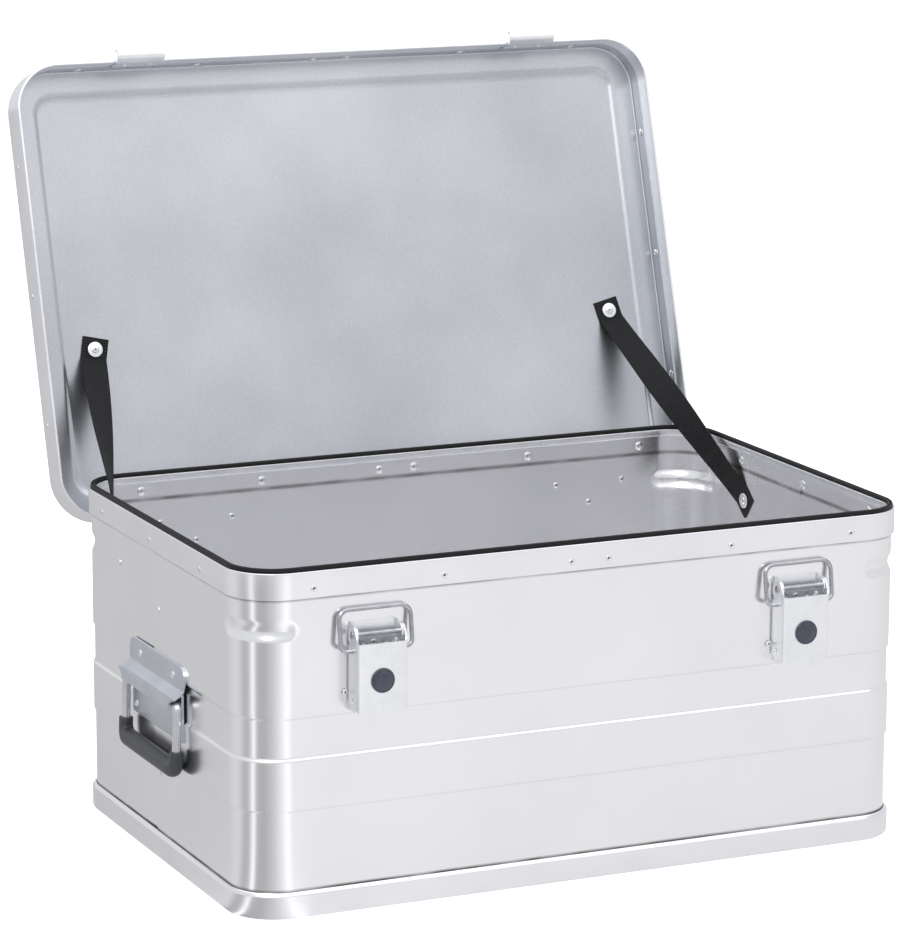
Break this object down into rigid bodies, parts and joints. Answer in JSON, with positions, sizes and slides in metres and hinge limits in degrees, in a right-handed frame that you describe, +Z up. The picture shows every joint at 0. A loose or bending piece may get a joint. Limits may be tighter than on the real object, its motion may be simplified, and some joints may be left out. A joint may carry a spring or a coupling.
{
  "type": "top case",
  "caption": "Aluminium top case with rounded corners, a sealed rim, a hinged lid held open by webbing straps, toggle latches at the front and drop handles at the ends.",
  "frame": {"origin": "centre of the flat underside, where the case rests", "axes": "+Z up, -Y the front with the latches, +Y the back with the hinges, X along the length, with the case's own left handle at -X as seen from the front"},
  "size_m": [0.5968, 0.5399, 0.6042],
  "materials": {
    "body_sheet": "plain mill sheet, softly bright",
    "profile": "extruded profile, satin",
    "lid_sheet": "fine grained mill sheet",
    "rivet": "bright",
    "seal": "matt black",
    "plated_plate": "zinc plated, satin",
    "plated_wire": "nickel plated, bright",
    "grip": "soft matt charcoal",
    "plug": "gloss black",
    "webbing": "ribbed black webbing"
  },
  "bodies": {
    "case": {"body_shell_front": "body_sheet", "body_shell_back": "body_sheet", "bottom_panel": "body_sheet", "base_profile": "profile", "rim_profile": "profile", "handle_bracket_left": "profile", "handle_bracket_right": "profile", "rim_rivets": "rivet", "seam_rivets": "rivet", "handle_rivets": "rivet", "hinge_body_rivets": "rivet", "latch_base_rivets": "rivet", "strap_lower_rivets": "rivet", "rim_seal": "seal", "hinge_leaf_body_left": "plated_plate", "hinge_leaf_body_right": "plated_plate", "latch_base_left": "plated_plate", "latch_base_right": "plated_plate", "strap_lower_washers": "plated_plate", "hinge_pin_left": "plated_wire", "hinge_pin_right": "plated_wire", "latch_pin_left": "plated_wire", "latch_pin_right": "plated_wire", "lid_strap_left": "webbing", "lid_strap_right": "webbing"},
    "lid": {"lid_panel": "lid_sheet", "lid_frame": "profile", "lid_rivets": "rivet", "striker_left": "plated_plate", "striker_right": "plated_plate", "striker_rivets": "rivet", "hinge_leaf_lid_left": "plated_plate", "hinge_leaf_lid_right": "plated_plate", "hinge_lid_rivets": "rivet", "strap_upper_washers": "plated_plate", "strap_upper_rivets": "rivet"},
    "latch_lever_left": {"latch_lever_left": "plated_plate", "latch_plug_left": "plug"},
    "latch_bail_left": {"latch_bail_left": "plated_wire"},
    "handle_left": {"handle_bail_left": "plated_wire", "handle_grip_left": "grip"},
    "latch_lever_right": {"latch_lever_right": "plated_plate", "latch_plug_right": "plug"},
    "latch_bail_right": {"latch_bail_right": "plated_wire"},
    "handle_right": {"handle_bail_right": "plated_wire", "handle_grip_right": "grip"}
  },
  "joints": [
    {"name": "lid_hinge", "type": "hinge", "parent": "case", "child": "lid", "pos_m": [0, 0.1871, 0.2364], "axis": [1, 0, 0], "range_deg": [0, 107.3], "deforming": ["lid_strap_left", "lid_strap_right"]},
    {"name": "latch_lever_left", "type": "hinge", "parent": "case", "child": "latch_lever_left", "pos_m": [-0.1807, -0.19145, 0.2174], "axis": [-1, 0, 0], "range_deg": [0, 105]},
    {"name": "latch_bail_left", "type": "hinge", "parent": "latch_lever_left", "child": "latch_bail_left", "pos_m": [-0.1807, -0.19135, 0.205], "axis": [1, 0, 0], "range_deg": [0, 120]},
    {"name": "handle_left", "type": "hinge", "parent": "case", "child": "handle_left", "pos_m": [-0.2896, 0, 0.1386], "axis": [0, 1, 0], "range_deg": [0, 75]},
    {"name": "latch_lever_right", "type": "hinge", "parent": "case", "child": "latch_lever_right", "pos_m": [0.1807, -0.19145, 0.2174], "axis": [-1, 0, 0], "range_deg": [0, 105]},
    {"name": "latch_bail_right", "type": "hinge", "parent": "latch_lever_right", "child": "latch_bail_right", "pos_m": [0.1807, -0.19135, 0.205], "axis": [1, 0, 0], "range_deg": [0, 120]},
    {"name": "handle_right", "type": "hinge", "parent": "case", "child": "handle_right", "pos_m": [0.2896, 0, 0.1386], "axis": [0, -1, 0], "range_deg": [0, 75]}
  ],
  "couplings": [
    {"joint": "latch_bail_left", "follows": "latch_lever_left", "ratio": 1.1},
    {"joint": "latch_bail_right", "follows": "latch_lever_right", "ratio": 1.1}
  ]
}
